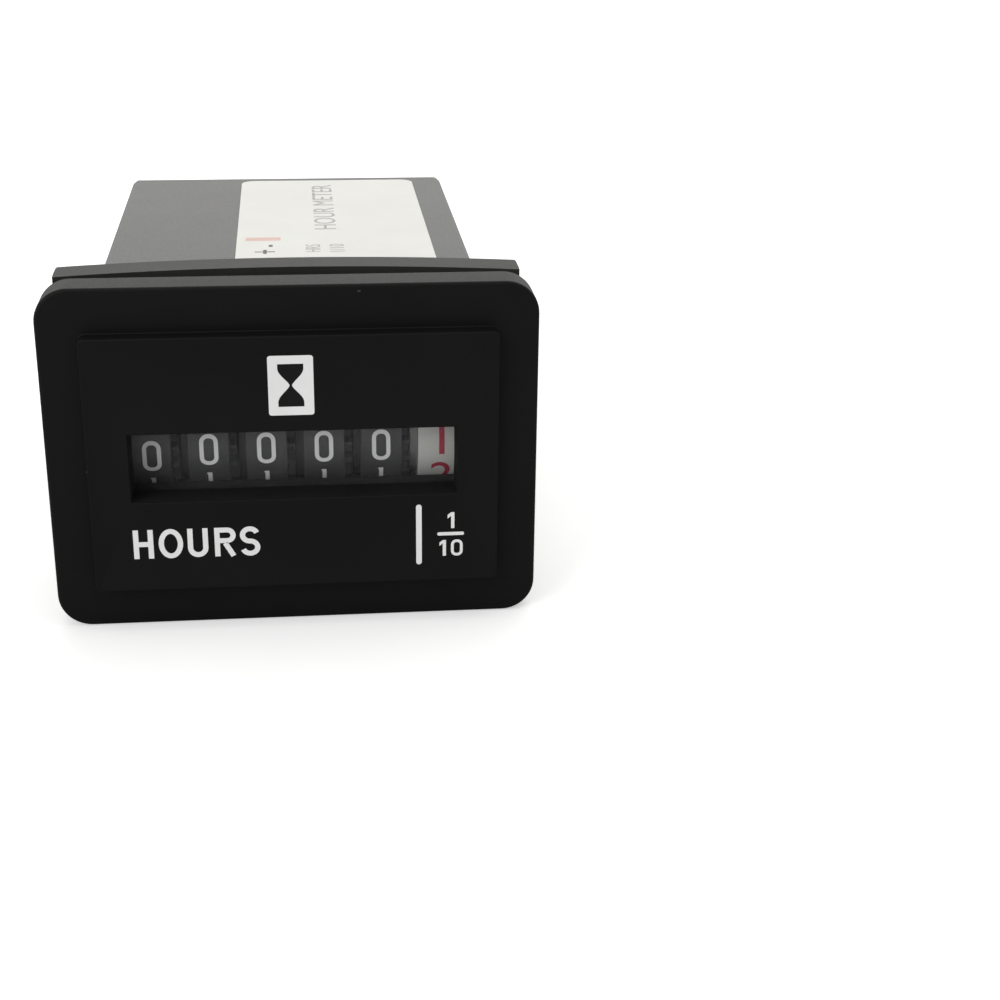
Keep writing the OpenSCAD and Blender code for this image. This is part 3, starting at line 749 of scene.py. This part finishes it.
world = bpy.data.worlds.new("studio")
bpy.context.scene.world = world
world.use_nodes = True
nodes, links = world.node_tree.nodes, world.node_tree.links
lit = nodes["Background"]
lit.inputs["Color"].default_value = (1, 1, 1, 1)
lit.inputs["Strength"].default_value = 0.36
seen = nodes.new("ShaderNodeBackground")
seen.inputs["Color"].default_value = (1, 1, 1, 1)
seen.inputs["Strength"].default_value = 1.0
mix = white_to_camera(nodes, links, lit.outputs[0], seen.outputs[0])
links.new(mix.outputs[0], nodes["World Output"].inputs["Surface"])

FLOOR_GLOW = 0.42
FLOOR_SIZE, FLOOR_GAP = 6, 0.05 * MM
clear_pick()
bpy.ops.mesh.primitive_plane_add(size=FLOOR_SIZE, location=(0, 0, cad_box[0][2] - FLOOR_GAP))
floor = added("floor")
floor_white = moulded("floor_white", grey(0.93), grey(0.95), (0.8, 0.9), 0.1, 200, 0.0, 0.0)
paint(floor, floor_white)

# to the camera the floor glows a little, so that only the part's shadow tells it from the background
nodes, links = floor_white.node_tree.nodes, floor_white.node_tree.links
path = nodes.new("ShaderNodeLightPath")
glow = nodes.new("ShaderNodeMath")
glow.operation = "MULTIPLY"
glow.inputs[1].default_value = FLOOR_GLOW
links.new(path.outputs["Is Camera Ray"], glow.inputs[0])
bsdf = nodes["Principled BSDF"]
bsdf.inputs["Emission Color"].default_value = (1, 1, 1, 1)
links.new(glow.outputs[0], bsdf.inputs["Emission Strength"])


def softbox(name, place, target, size, power, tint):
    """A soft area light aimed at a point, unseen by the camera."""
    clear_pick()
    bpy.ops.object.light_add(type="AREA", location=place)
    lamp = bpy.context.active_object
    lamp.name = name
    lamp.data.shape = "RECTANGLE"
    lamp.data.size, lamp.data.size_y = size
    lamp.data.energy = power
    lamp.data.color = tint
    lamp.rotation_euler = (Vector(place) - Vector(target)).to_track_quat("Z", "Y").to_euler()
    lamp.visible_camera = False
    return lamp


MIDDLE = (0, 0.02, 0)
WARM = (1, 0.995, 0.955)
softbox("overhead", (0.05, 0.10, 0.60), MIDDLE, (0.7, 0.6), 1.5, WARM)
softbox("rear", (0.10, 0.75, 0.36), MIDDLE, (1.2, 0.6), 2.2, WARM)
softbox("front_left", (-0.45, -0.5, 0.35), MIDDLE, (0.4, 0.4), 2.0, (1, 1, 1))

# the photograph's camera: place in millimetres, bearing, height and roll in degrees
EYE = Vector((0.537, -152.811, 56.377)) * MM
BEARING, HEIGHT, ROLL = math.radians(-6.925), math.radians(22.293), math.radians(0.829)
LENS, SENSOR = 63.34, 36.0
back = Vector((math.sin(BEARING) * math.cos(HEIGHT), -math.cos(BEARING) * math.cos(HEIGHT), math.sin(HEIGHT)))
right = Vector((math.cos(BEARING), math.sin(BEARING), 0))
up = back.cross(right)
right, up = (math.cos(ROLL) * right + math.sin(ROLL) * up, math.cos(ROLL) * up - math.sin(ROLL) * right)
clear_pick()
bpy.ops.object.camera_add(location=EYE)
camera = added("camera")
camera.rotation_euler = Matrix((right, up, back)).transposed().to_euler()
camera.data.lens = LENS
camera.data.sensor_width = SENSOR
camera.data.clip_start = 0.005
bpy.context.scene.camera = camera
bpy.context.scene.view_settings.view_transform = "Standard"
